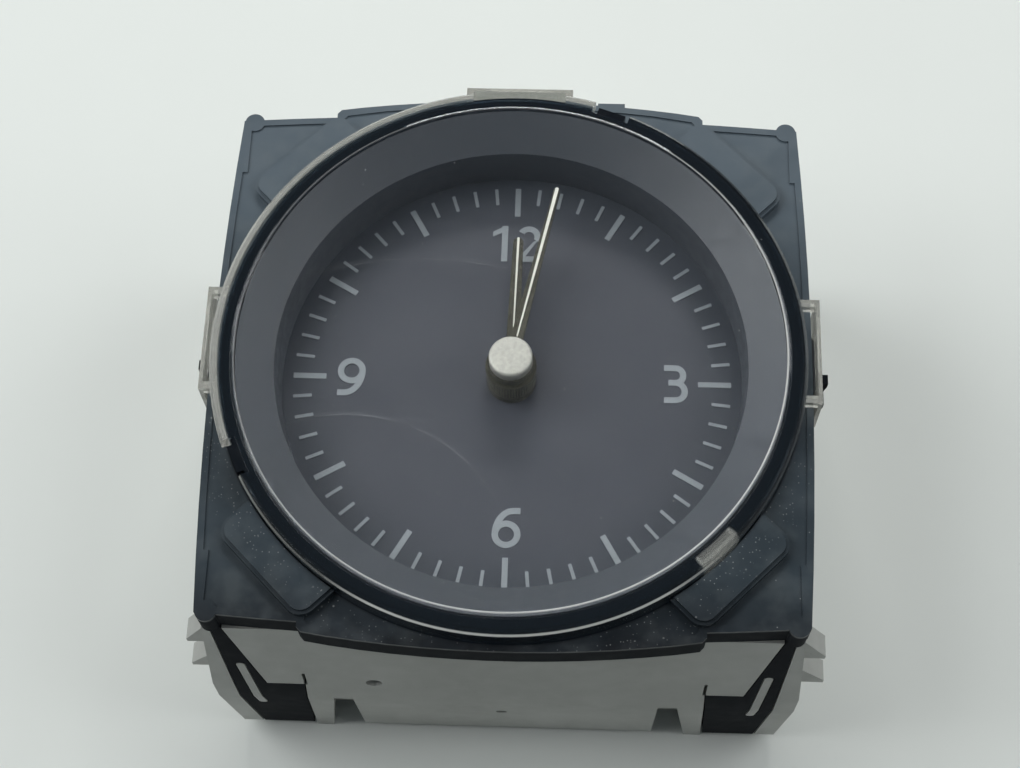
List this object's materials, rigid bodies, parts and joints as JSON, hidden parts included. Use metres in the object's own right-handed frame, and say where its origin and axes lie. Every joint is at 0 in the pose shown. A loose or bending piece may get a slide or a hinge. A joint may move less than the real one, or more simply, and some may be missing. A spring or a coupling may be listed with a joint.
{
  "type": "car clock",
  "caption": "Dashboard clock module: round analogue dial under a clear clip-on lens, in a black front frame clipped to a deep pale rear housing.",
  "frame": {"origin": "Point where the hands' axis meets the plane of the flat rear panel and the feet.", "axes": "+X to 3 o'clock, +Y to 12 o'clock, +Z out through the lens along the hands' axis."},
  "size_m": [0.0772, 0.0704, 0.0484],
  "materials": {
    "black_frame": "satin moulded plastic",
    "clear_lens": "clear polished plastic",
    "mask_grey": "satin grey plastic",
    "dial_grey": "matt printed film",
    "dial_print": "matt ink",
    "diffuser": "milky plastic",
    "pale_housing": "moulded off-white plastic",
    "board_green": "coated board",
    "steel": "plain",
    "led_body": "glossy",
    "chip_black": "matt",
    "component_body": "matt",
    "connector_black": "matt",
    "tinned_pins": "tinned",
    "movement_dark": "moulded",
    "movement_light": "moulded",
    "bobbin_plastic": "moulded",
    "copper_winding": "enamelled wire",
    "ferrite": "sintered magnet",
    "gear_plastic": "natural plastic",
    "wheel_brass": "turned",
    "hand_smoke": "smoky translucent plastic",
    "hand_line": "bright foil",
    "cap_silver": "fine satin"
  },
  "bodies": {
    "case": {"front_frame": "black_frame", "lens": "clear_lens", "mask_ring": "mask_grey", "dial": "dial_grey", "dial_markings": "dial_print", "light_guide": "diffuser", "rear_housing": "pale_housing", "circuit_board": "board_green", "board_screws": "steel", "leds": "led_body", "microcontroller": "chip_black", "board_components": "component_body", "connector_shroud": "connector_black", "connector_pins": "tinned_pins", "movement_case_rear": "movement_dark", "movement_case_front": "movement_light", "stator": "steel", "coil_core": "steel", "coil_bobbin": "bobbin_plastic", "coil_winding": "copper_winding"},
    "minute": {"minute_hand": "hand_smoke", "minute_hand_line": "hand_line", "hand_cap": "cap_silver", "minute_arbor": "steel", "minute_wheel": "wheel_brass"},
    "hour": {"hour_hand": "hand_smoke", "hour_hand_line": "hand_line", "hour_wheel": "gear_plastic"},
    "motion": {"motion_wheel": "gear_plastic"},
    "second": {"second_wheel": "gear_plastic"},
    "rotor": {"rotor_magnet": "ferrite", "rotor_pinion": "gear_plastic"}
  },
  "joints": [
    {"name": "minute_turn", "type": "hinge", "parent": "case", "child": "minute", "pos_m": [0, 0, 0], "axis": [0, 0, 1], "continuous": true},
    {"name": "hour_turn", "type": "hinge", "parent": "case", "child": "hour", "pos_m": [0, 0, 0], "axis": [0, 0, 1], "continuous": true},
    {"name": "motion_turn", "type": "hinge", "parent": "case", "child": "motion", "pos_m": [0.0059, 0.00413, 0.022], "axis": [0, 0, 1], "continuous": true},
    {"name": "second_turn", "type": "hinge", "parent": "case", "child": "second", "pos_m": [-0.0059, -0.00413, 0.018], "axis": [0, 0, 1], "continuous": true},
    {"name": "rotor_turn", "type": "hinge", "parent": "case", "child": "rotor", "pos_m": [-0.01196, -0.00063, 0.016], "axis": [0, 0, 1], "continuous": true}
  ],
  "couplings": [
    {"joint": "hour_turn", "follows": "minute_turn", "ratio": 0.083333},
    {"joint": "motion_turn", "follows": "minute_turn", "ratio": -0.33333},
    {"joint": "second_turn", "follows": "minute_turn", "ratio": -5},
    {"joint": "rotor_turn", "follows": "minute_turn", "ratio": 30}
  ]
}
